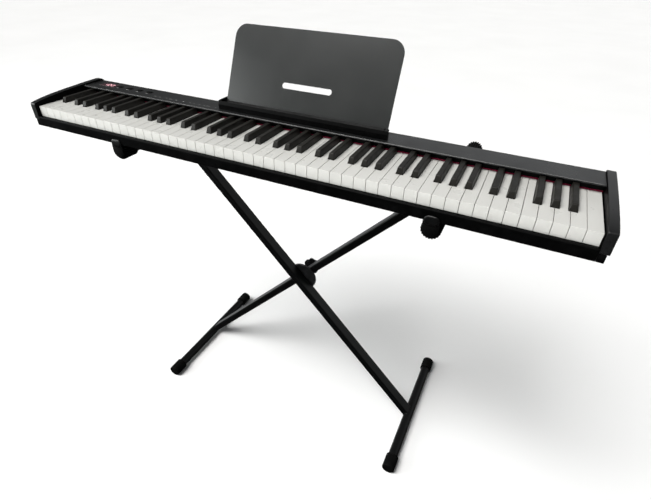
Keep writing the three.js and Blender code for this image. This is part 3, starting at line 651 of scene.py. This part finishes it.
def black_key(bm, centre):
    """One black key: upright foot, tapered sides, sloped front, and a tail that dips under the felt."""
    y0 = KEY_Y0 + BLACK_FRONT
    y_top = y0 + 4.3 * MM
    y_full, y_dip, y_base = (KEY_Y0 + end for end in (BLACK_FULL_END, BLACK_DIP_END, BLACK_BASE_END))
    base_z = TOP_Z - 10 * MM
    shoulder = TOP_Z + 0.6 * MM
    rings = []
    for y, z_top, half_top, z_mid in (
        (y0, TOP_Z + 1.0 * MM, BLACK_HALF - 0.1 * MM, TOP_Z + 0.5 * MM),
        (y0 + 1.1 * MM, TOP_Z + 4.6 * MM, BLACK_HALF - 0.75 * MM, shoulder),
        (y0 + 2.4 * MM, TOP_Z + 9.0 * MM, BLACK_HALF - 1.3 * MM, shoulder),
        (y0 + 3.6 * MM, TOP_Z + 11.9 * MM, BLACK_TOP_HALF, shoulder),
        (y_top + 1.2 * MM, BLACK_TOP_Z, BLACK_TOP_HALF, shoulder),
        (y_full, BLACK_TOP_Z, BLACK_TOP_HALF, shoulder),
    ):
        crown = 0.25 * MM if z_top > shoulder + 4 * MM else 0.0
        rings.append([
            (centre - BLACK_HALF, y, base_z), (centre + BLACK_HALF, y, base_z),
            (centre + BLACK_HALF, y, z_mid), (centre + half_top, y, z_top - crown),
            (centre, y, z_top), (centre - half_top, y, z_top - crown), (centre - BLACK_HALF, y, z_mid)])
    loft(bm, rings)
    left, right = centre - BLACK_HALF, centre + BLACK_HALF
    block(bm, (left, y_full - MM, base_z), (right, y_dip + MM, TOP_Z + 0.3 * MM))
    block(bm, (left, y_dip, base_z), (right, y_base, TOP_Z + 9 * MM))
    block(bm, (left, y_base - MM, TOP_Z + 2 * MM), (right, KEY_Y1, TOP_Z + 9 * MM))


def black_comb(name, boundaries, body):
    bm = bmesh.new()
    for boundary in boundaries:
        black_key(bm, SHARPS[boundary])
    obj = new_object(name + "_keys", bm, SHARP, sharp=30)
    bevelled(obj, 0.9 * MM, 3, 22.0)
    settle(obj, body, "black_key", name)
    if len(boundaries) > 1:
        bm = bmesh.new()
        block(bm, (SHARPS[boundaries[0]], KEY_Y1 - SPINE, TOP_Z + 2.2 * MM),
              (SHARPS[boundaries[-1]], KEY_Y1, TOP_Z + 8.8 * MM))
        spine = new_object(name + "_spine", bm, SHARP, sharp=30)
        bevelled(spine, 0.5 * MM, 2)
        settle(spine, body, "black_key")


def build_keyboard():
    white_comb("white_keys_a0_b0", 0, 1, "whites_a0_b0")
    black_comb("black_key_a0", [1], "black_a0")
    for octave in range(1, OCTAVES + 1):
        c = 2 + (octave - 1) * 7
        white_comb(f"white_keys_octave_{octave}", c, c + 6, f"whites_{octave}")
        black_comb(f"black_keys_octave_{octave}", [c + k for k in (1, 2, 4, 5, 6)], f"blacks_{octave}")
    white_comb("white_key_c8", 51, 51, "white_c8")


# ---------------------------------------------------------------- piano case
def bezier(a, b, c, steps):
    """Points along a curve from a to c that leans toward b, without a itself."""
    points = []
    for i in range(1, steps + 1):
        t = i / steps
        points.append(tuple(
            (1 - t) ** 2 * p + 2 * t * (1 - t) * q + t * t * r for p, q, r in zip(a, b, c)))
    return points


def cheek(name):
    """End block with the long swept top edge and a rounded rear corner."""
    lo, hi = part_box(name)
    front, rear, bottom, top = lo.y, hi.y, lo.z, hi.z
    outline = [(front, bottom), (rear, bottom), (rear, top - 10.5 * MM)]
    outline += bezier(outline[-1], (rear, top), (rear - 12 * MM, top), 8)
    nose = (front + 3 * MM, top - 13.9 * MM)
    outline += bezier(outline[-1], (front + 48.5 * MM, top - 4 * MM), nose, 18)
    outline += bezier(nose, (front, top - 15.1 * MM), (front, top - 18 * MM), 5)
    bm = bmesh.new()
    prism(bm, outline, lambda u, v, w: (lo.x + w, u, v), hi.x - lo.x)
    obj = new_object(name + "_block", bm, PANEL, sharp=24)
    # The inward end face takes the darker case plastic: painted shade on the side facing the keys.
    obj.data.materials.append(CASE_WITH_PAINTED_SHADE)
    inward = 1.0 if lo.x < 0 else -1.0
    for face in obj.data.polygons:
        if face.normal.x * inward > 0.9:
            face.material_index = 1
    bevelled(obj, 0.9 * MM, 3, 40.0)
    settle(obj, "piano", "case_plastic", name)


def music_rest():
    """Smooth sloping plate with rounded top corners and a finger slot."""
    lo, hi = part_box("music_rest_plate")
    tilt = math.radians(23.5)
    up = Vector((0, math.sin(tilt), math.cos(tilt)))
    out = Vector((0, -math.cos(tilt), math.sin(tilt)))
    thick, tongue = 3 * MM, 11 * MM
    width = hi.x - lo.x
    height = (hi.z - lo.z - thick * out.z) / up.z
    base = Vector(((lo.x + hi.x) / 2, lo.y, lo.z + thick * out.z))
    radius = 28 * MM
    steps = 16
    outline = [(-width / 2, 0.0), (width / 2, 0.0)]
    for sign, start in ((1, 0.0), (-1, math.pi / 2)):
        for i in range(steps + 1):
            turn = start + (math.pi / 2) * i / steps
            outline.append((
                sign * (width / 2 - radius) + radius * math.cos(turn),
                height - radius + radius * math.sin(turn)))
    slot_z = tongue + 51.5 * MM
    slot = [(u, v + slot_z) for u, v in rounded(120.6 * MM, 12.5 * MM, 6.24 * MM, 10)]
    bm = bmesh.new()

    def place(u, v, w):
        return base + Vector((u, 0, 0)) + up * v - out * w

    skins = []
    for depth in (0.0, thick):
        rim = [bm.verts.new(place(u, v, depth)) for u, v in outline]
        hole = [bm.verts.new(place(u, v, depth)) for u, v in slot]
        edges = [
            bm.edges.new((ring[i], ring[(i + 1) % len(ring)]))
            for ring in (rim, hole) for i in range(len(ring))]
        bmesh.ops.triangle_fill(bm, edges=edges, use_beauty=True, use_dissolve=False)
        skins.append((rim, hole))
    for near, far in zip(*skins):
        for i in range(len(near)):
            j = (i + 1) % len(near)
            bm.faces.new((near[i], near[j], far[j], far[i]))
    obj = new_object("music_rest_panel", bm, REST, sharp=30)
    bevelled(obj, 0.7 * MM, 3, 50.0)
    settle(obj, "music_rest", "rest_plastic", "music_rest_plate")


def digits():
    """A generic three-digit number in seven-segment figures."""
    lo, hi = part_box("display_window")
    shapes = {"0": "abcdef", "1": "bc", "2": "abged", "8": "abcdefg"}
    tall, wide, bar = 11 * MM, 6.4 * MM, 1.25 * MM
    bm = bmesh.new()
    z = hi.z + 0.02 * MM
    centre = (lo + hi) / 2

    def segment(x, y, length, upright):
        half = length / 2
        body = [(-half, 0), (-half + bar / 2, bar / 2), (half - bar / 2, bar / 2),
                (half, 0), (half - bar / 2, -bar / 2), (-half + bar / 2, -bar / 2)]
        if upright:
            body = [(v, u) for u, v in body][::-1]
        prism(bm, [(x + u, y + v) for u, v in body], lambda u, v, w: (u, v, z + w), 0.12 * MM)

    for place, figure in enumerate("120"):
        x = centre.x + (place - 1) * 11.5 * MM
        y = centre.y
        spots = {
            "a": (x, y + tall / 2, wide, False),
            "b": (x + wide / 2, y + tall / 4, tall / 2, True),
            "c": (x + wide / 2, y - tall / 4, tall / 2, True),
            "d": (x, y - tall / 2, wide, False),
            "e": (x - wide / 2, y - tall / 4, tall / 2, True),
            "f": (x - wide / 2, y + tall / 4, tall / 2, True),
            "g": (x, y, wide, False)}
        for letter in shapes[figure]:
            segment(*spots[letter])
    settle(new_object("display_digits", bm, LIT, smooth=False), "piano", "display")


def panel_print_and_highlight():
    """Small plain printed marks under the controls and along the panel's front, and a pale line on the
    front edge that is a painted highlight.
    """
    bm = bmesh.new()
    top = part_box("top_panel")[1].z
    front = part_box("top_panel")[0].y
    z = top + 0.02 * MM

    def dash(x, y, length, width):
        outline = [(x + u, y + v) for u, v in rounded(length, width, width * 0.45, 3)]
        prism(bm, outline, lambda u, v, w: (u, v, z + w), 0.05 * MM)

    for i in range(1, 5):
        mid = middle(f"panel_button_{i}")
        dash(mid.x, mid.y - 9.6 * MM, 8 * MM, 1.1 * MM)
    # A thin pale line just behind the panel's front edge: a painted highlight where the edge catches
    # light.
    dash(0.0, front + 1.3 * MM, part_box("top_panel")[1].x * 2 - 6 * MM, 0.55 * MM)
    x = -0.385
    while x < 0.15:
        length = rng.choice((4.0, 6.0, 9.0)) * MM
        dash(x, front + 18.5 * MM, length, 1.1 * MM)
        x += length + rng.choice((8.0, 12.0, 16.0)) * MM
    settle(new_object("panel_marks_and_edge_highlight", bm, INK_AND_HIGHLIGHT, smooth=False), "piano", "panel_plastic")


def button_surrounds():
    """A dark printed oval around each button."""
    bm = bmesh.new()
    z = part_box("top_panel")[1].z + 0.02 * MM
    for index in range(1, 5):
        lo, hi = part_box(f"panel_button_{index}")
        mid = (lo + hi) / 2
        inner = rounded(hi.x - lo.x + 1.6 * MM, hi.y - lo.y + 1.6 * MM, (hi.y - lo.y) / 2 + 0.79 * MM, 10)
        outer = rounded(hi.x - lo.x + 7 * MM, hi.y - lo.y + 6.4 * MM, (hi.y - lo.y) / 2 + 3.19 * MM, 10)
        rings = [[(mid.x + u, mid.y + v, z + w) for u, v in ring]
                 for ring, w in ((inner, 0.0), (outer, 0.0), (outer, 0.05 * MM), (inner, 0.05 * MM))]
        loft(bm, rings, closed_loop=True)
    settle(new_object("button_surround_print", bm, SURROUND, smooth=False), "piano", "panel_plastic")


def button(index):
    """Oval rubber button with a domed top."""
    node = f"panel_button_{index}"
    lo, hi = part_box(node)
    mid = (lo + hi) / 2
    length, width = hi.x - lo.x, hi.y - lo.y
    bm = bmesh.new()
    rings = []
    for shrink, z in ((0.0, lo.z), (0.0, hi.z - 0.9 * MM), (0.15, hi.z - 0.5 * MM), (0.5, hi.z - 0.2 * MM),
                      (1.3, hi.z - 0.05 * MM), (2.6, hi.z)):
        w, h = length - 2 * shrink * MM, width - 2 * shrink * MM
        rings.append([(mid.x + u, mid.y + v, z) for u, v in rounded(w, h, h / 2 - 0.00001, 8)])
    loft(bm, rings)
    settle(new_object(node + "_cap", bm, BUTTON, sharp=50), f"button_{index}", "cap_rubber", node)


def felt_strip():
    """Felt under the fascia's edge, with a slightly uneven fuzzy front."""
    lo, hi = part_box("felt_strip")
    bm = bmesh.new()
    steps = 500
    height = hi.z - lo.z
    rings = []
    for i in range(steps + 1):
        x = lo.x + (hi.x - lo.x) * i / steps
        fuzz = rng.uniform(0.0, 0.22) * MM
        sag = rng.uniform(-0.08, 0.08) * MM
        rings.append([
            (x, hi.y, lo.z + 0.1 * MM), (x, hi.y, hi.z), (x, lo.y + 0.5 * MM, hi.z),
            (x, lo.y + fuzz, hi.z - 0.3 * height), (x, lo.y + fuzz, lo.z + 0.35 * height),
            (x, lo.y + 0.5 * MM, lo.z + 0.1 * MM + sag)])
    loft(bm, rings)
    settle(new_object("felt_strip_wool", bm, FELT, sharp=60), "piano", "felt", "felt_strip")


def jack_trim():
    """A steel bush in each jack socket and a contact pin in the power inlet."""
    block_lo, block_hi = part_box("jack_block")
    centre = (block_lo + block_hi) / 2
    bm = bmesh.new()
    for side in (-9 * MM, 9 * MM):
        y = block_hi.y
        outer = [(3.75 * MM, y - 12 * MM), (3.75 * MM, y - 0.3 * MM), (3.6 * MM, y - 0.1 * MM)]
        inner = [(3.25 * MM, y - 0.1 * MM), (3.1 * MM, y - 0.4 * MM), (3.1 * MM, y - 12 * MM)]
        bored_y(bm, centre.x + side, centre.z, outer, inner, 40)
    settle(new_object("jack_bushes", bm, STEEL, sharp=40), "piano", "steel")
    inlet = middle("power_inlet")
    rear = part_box("power_inlet")[1].y
    pin = [(0.95 * MM, rear - 23.5 * MM), (0.95 * MM, rear - 3 * MM), (0.4 * MM, rear - 2 * MM)]
    bm = bmesh.new()
    turned_y(bm, inlet.x, inlet.z, pin, 20)
    settle(new_object("inlet_pin", bm, STEEL, sharp=40), "piano", "steel")


def build_case():
    for name in ("cheek_left", "cheek_right"):
        cheek(name)
    # The bottom case and key slip take the case plastic darkened by painted shade.
    dressed("bottom_case", CASE_WITH_PAINTED_SHADE, 0.5 * MM)
    dressed("key_slip", CASE_WITH_PAINTED_SHADE, 0.7 * MM, 3)
    dressed("rear_cover", REAR, 0.5 * MM)
    dressed("top_panel", PANEL, 0.35 * MM)
    dressed("fascia_strip", GLOSS_BLACK, 0.3 * MM)
    dressed("display_window", WINDOW, 0.4 * MM, 3)
    dressed("music_rest_ledge", GLOSS_BLACK, 0.8 * MM, 3)
    dressed("power_inlet", REAR, 0.3 * MM)
    dressed("jack_block", REAR, 0.3 * MM)
    dressed("key_frame", STEEL)
    for name in ("contact_board", "main_board", "button_board"):
        dressed(name, BOARD)
    for name in ("speaker_left", "speaker_right"):
        dressed(name, RUBBER)
    music_rest()
    digits()
    panel_print_and_highlight()
    button_surrounds()
    for index in range(1, 5):
        button(index)
    felt_strip()
    jack_trim()


# ---------------------------------------------------------------- stand
LEG_WIDTH = 20 * MM
LEG_ROUND = 3 * MM
LEG_WALL = 1.5 * MM
CLEAR = 0.3 * MM


def tube(node, body, material, slot):
    """Round tube or sleeve along Y, as a smooth bored ring."""
    lo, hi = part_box(node)
    mid = (lo + hi) / 2
    radius = (hi.z - lo.z) / 2
    wall = 1.2 * MM
    bm = bmesh.new()
    inner = [(radius - wall, hi.y), (radius - wall, lo.y)]
    bored_y(bm, mid.x, mid.z, rim_profile(radius, lo.y, hi.y, 0.4 * MM), inner, 72)
    settle(new_object(node + "_round", bm, material, sharp=40), body, slot, node)


STOP_THICK = 3.7 * MM
STOP_HALF = 15.4 * MM
ARM_RIBS = 20
RIB_DEPTH = 2.6 * MM
FOOT_BORE = 13.1 * MM
ARM_BORE = 12.6 * MM


def cap(node, body, tube_node, front, ribs, bore):
    """Rubber end cap: rounded nose and a moulded collar at its mouth. Arm caps are ribbed."""
    lo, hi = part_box(node)
    axis = middle(tube_node)
    stopped = front and ribs > 0
    radius = axis.z if ribs == 0 else (hi.x - lo.x) / 2
    y_nose, y_mouth = (lo.y, hi.y) if front else (hi.y, lo.y)
    if stopped:
        y_nose += STOP_THICK - 0.1 * MM
    way = 1.0 if front else -1.0
    nose = (6.5 if stopped else 5.0 if ribs else 2.5) * MM
    outer = []
    for i in range(9):
        turn = math.pi / 2 * i / 8
        share = min(1.0, i / 2) if ribs else 0.0
        outer.append((
            radius - nose + nose * math.sin(turn), y_nose + way * nose * (1 - math.cos(turn)), share))
    outer.insert(0, (radius * 0.45, y_nose + way * 0.02 * MM, 0.0))
    length = abs(y_mouth - y_nose)
    outer.append((radius, y_nose + way * (length - 5 * MM), 1.0))
    if ribs:
        outer += [(radius - 0.5 * MM, y_nose + way * (length - 4.2 * MM), 0.4),
                  (radius - 0.3 * MM, y_nose + way * (length - 3.2 * MM), 0.0),
                  (radius - 0.3 * MM, y_nose + way * (length - 0.6 * MM), 0.0),
                  (radius - 0.9 * MM, y_mouth, 0.0)]
    else:
        outer += [(radius - 0.7 * MM, y_nose + way * (length - 4.4 * MM), 0.0),
                  (radius - 0.7 * MM, y_nose + way * (length - 3.4 * MM), 0.0),
                  (radius, y_nose + way * (length - 2.8 * MM), 0.0),
                  (radius, y_nose + way * (length - 0.5 * MM), 0.0),
                  (radius - 0.6 * MM, y_mouth, 0.0)]
    outer += [(bore + 0.2 * MM, y_mouth, 0.0), (bore + 0.2 * MM, y_nose + way * (length - 6 * MM), 0.0)]
    bm = bmesh.new()
    turned_y(bm, axis.x, axis.z, outer, 320 if ribs else 72, RIB_DEPTH, ribs)
    settle(new_object(node + "_moulding", bm, RUBBER, sharp=50), body, "cap_rubber", node)
    if stopped:
        stop_lip(node, body, axis, lo.y, hi.z)


def stop_lip(node, body, axis, y_front, z_top):
    """Upright lip on a front arm cap that keeps the case on the arms: a plate with a soft domed pad."""
    z_low, z_shelf = axis.z - 13.4 * MM, axis.z + 12.5 * MM
    y_back = y_front + STOP_THICK

    def puffed(name, half, z0, z1, steps, material):
        rings = []
        for shrink, y in steps:
            w, h = 2 * (half - shrink * MM), z1 - z0 - 2 * shrink * MM
            corner = min(w, h) / 2 - 0.01 * MM
            rings.append([(axis.x + u, y, (z0 + z1) / 2 + v) for u, v in rounded(w, h, corner, 14)])
        bm = bmesh.new()
        loft(bm, rings)
        settle(new_object(name, bm, material, sharp=50), body, "cap_rubber")

    plate = [(0.6, y_back), (0.0, y_back - 0.6 * MM), (0.0, y_front + 2.6 * MM), (0.7, y_front + 2.0 * MM)]
    dome = [(0.0, y_front + 2.3 * MM), (0.3, y_front + 1.5 * MM), (1.4, y_front + 0.7 * MM),
            (3.2, y_front + 0.2 * MM), (6.0, y_front)]
    puffed(node + "_stop", STOP_HALF, z_low, z_top, plate, RUBBER)
    puffed(node + "_pad", STOP_HALF - 1.2 * MM, z_shelf, z_top - MM, dome, PAD)


def leg(node, body, foot_node, arm_node):
    """Rectangular tube, its ends coped onto the round tubes, with a weld bead at each end."""
    lo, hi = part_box(node)
    foot, arm = middle(foot_node), middle(arm_node)
    axis = Vector((foot.x - arm.x, 0, foot.z - arm.z))
    length = axis.length
    along = axis.normalized()
    across = Vector((along.z, 0, -along.x))
    depth = hi.y - lo.y
    centre_y = (lo.y + hi.y) / 2
    section = []
    corners = rounded(depth, LEG_WIDTH, LEG_ROUND, 6)
    for i, (u, v) in enumerate(corners):
        section.append((u, v))
        nu, nv = corners[(i + 1) % len(corners)]
        if abs(nv - v) > 5 * MM:
            section += [(u + (nu - u) * k / 8, v + (nv - v) * k / 8) for k in range(1, 8)]
    foot_r = (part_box(foot_node)[1].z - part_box(foot_node)[0].z) / 2 + CLEAR
    arm_r = (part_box(arm_node)[1].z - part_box(arm_node)[0].z) / 2 + CLEAR
    start = Vector((arm.x, centre_y, arm.z))

    def at(u, v, s):
        return start + along * s + across * v + Vector((0, u, 0))

    def coped(outline, radius, end, inset=0.0):
        rim = []
        for u, v in outline:
            cut = math.sqrt(radius ** 2 - v ** 2) + inset
            rim.append(at(u, v, cut if end == "arm" else length - cut))
        return rim

    inner = [(u * (1 - 2 * LEG_WALL / depth), v * (1 - 2 * LEG_WALL / LEG_WIDTH)) for u, v in section]
    bm = bmesh.new()
    loft(bm, [
        coped(section, arm_r, "arm"), coped(section, foot_r, "foot"),
        coped(inner, foot_r, "foot"), coped(inner, arm_r, "arm")], closed_loop=True)
    obj = bevelled(new_object(node + "_tube", bm, PAINT, sharp=40), 0.0)
    settle(obj, body, "stand_paint", node)
    for end, radius in (("arm", arm_r), ("foot", foot_r)):
        weld_bead(f"{node}_{end}_weld", coped(section, radius, end, 0.9 * MM), body)


def weld_bead(name, path, body):
    """A painted weld: small overlapping scales around a joint."""
    points = []
    for i, a in enumerate(path):
        b = path[(i + 1) % len(path)]
        steps = max(1, int((b - a).length / (0.7 * MM)))
        points += [a.lerp(b, k / steps) for k in range(steps)]
    centre = sum(points, Vector()) / len(points)
    bm = bmesh.new()
    rings = []
    for i, p in enumerate(points):
        ahead = (points[(i + 1) % len(points)] - points[i - 1]).normalized()
        outward = p - centre
        outward = (outward - ahead * outward.dot(ahead)).normalized()
        side = ahead.cross(outward)
        r = (0.95 + 0.3 * abs(math.sin(i * 0.9)) + rng.uniform(-0.08, 0.08)) * MM
        rings.append([
            p + outward * r * math.cos(2 * math.pi * k / 8) + side * r * math.sin(2 * math.pi * k / 8)
            for k in range(8)])
    loft(bm, rings, closed_loop=True)
    settle(new_object(name, bm, PAINT, sharp=70), body, "stand_paint")


def lock_disc(node, body):
    """Round lock plate with a chamfered rim."""
    lo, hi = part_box(node)
    mid = (lo + hi) / 2
    radius = (hi.x - lo.x) / 2
    hole = 6.4 * MM
    bm = bmesh.new()
    outer = rim_profile(radius, lo.y, hi.y, 0.5 * MM)
    bored_y(bm, mid.x, mid.z, outer, [(hole, hi.y), (hole, lo.y)], 120)
    settle(new_object(node + "_plate", bm, HUB, sharp=35), body, "stand_paint", node)


def lock_knob():
    """Star knob: soft lobes, dished rear face, round boss against the leg."""
    lo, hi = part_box("lock_knob")
    centre_x, centre_z = (lo.x + hi.x) / 2, middle("pivot_bolt").z
    tip = 24 * MM
    boss_end = lo.y + 12 * MM
    bore = 6.3 * MM
    lobes, lobe_depth = 7, 0.092
    rings = []
    sides = 168

    def star(radius, y, share):
        points = []
        for i in range(sides):
            turn = 2 * math.pi * i / sides
            r = radius * (1 - lobe_depth * share) + lobe_depth * share * radius * math.cos(lobes * turn)
            points.append((centre_x + r * math.cos(turn), y, centre_z + r * math.sin(turn)))
        rings.append(points)

    star(13.6 * MM, lo.y, 0)
    star(14 * MM, lo.y + 0.5 * MM, 0)
    star(14 * MM, boss_end - 1 * MM, 0)
    star(15 * MM, boss_end, 0)
    soft = 6.5 * MM
    for i in range(9):
        turn = math.pi / 2 * i / 8
        star(tip - soft + soft * math.sin(turn), boss_end + soft * (1 - math.cos(turn)), 0.5 + 0.5 * i / 8)
    for i in range(9):
        turn = math.pi / 2 * i / 8
        star(tip - soft + soft * math.cos(turn), hi.y - soft + soft * math.sin(turn), 1 - 0.5 * i / 8)
    star(14 * MM, hi.y - 0.6 * MM, 0.2)
    star(10 * MM, hi.y - 1.6 * MM, 0)
    bm = bmesh.new()
    loops = loft(bm, rings, closed_ends=False)
    bm.faces.new(loops[-1])
    inner = []
    for y in (lo.y, lo.y + 22 * MM):
        turns = [2 * math.pi * i / sides for i in range(sides)]
        inner.append([
            (centre_x + bore * math.cos(turn), y, centre_z + bore * math.sin(turn)) for turn in turns])
    sleeve = loft(bm, inner, closed_ends=False)
    bm.faces.new(sleeve[-1])
    for i in range(sides):
        j = (i + 1) % sides
        bm.faces.new((loops[0][i], loops[0][j], sleeve[0][j], sleeve[0][i]))
    settle(new_object("lock_knob_star", bm, KNOB, sharp=50), "lock_knob", "case_plastic", "lock_knob")


def build_stand():
    """Both feet and arms with their caps and sleeves, the crossed legs, and the lock at the hub."""
    sides = {
        "right": ("foot_right", "leg_rear_side"),
        "left": ("leg_rear_side", "leg_front_side"),
    }
    sleeve_body = {"left": "leg_front_side", "right": "sleeve_right"}
    for side, (foot_body, arm_body) in sides.items():
        tube(f"foot_tube_{side}", foot_body, PAINT, "stand_paint")
        tube(f"arm_tube_{side}", arm_body, PAINT, "stand_paint")
        tube(f"arm_sleeve_{side}", sleeve_body[side], RUBBER, "cap_rubber")
        for end in ("front", "rear"):
            cap(f"foot_cap_{side}_{end}", foot_body, f"foot_tube_{side}", end == "front", 0, FOOT_BORE)
            cap(f"arm_cap_{side}_{end}", arm_body, f"arm_tube_{side}", end == "front", ARM_RIBS, ARM_BORE)
    leg("leg_front", "leg_front_side", "foot_tube_right", "arm_tube_left")
    leg("leg_rear", "leg_rear_side", "foot_tube_left", "arm_tube_right")
    lock_disc("lock_disc_front", "leg_front_side")
    lock_disc("lock_disc_rear", "leg_rear_side")
    dressed("pivot_bolt", STEEL)
    lock_knob()


add_camera()
add_studio()
build_keyboard()
build_case()
build_stand()
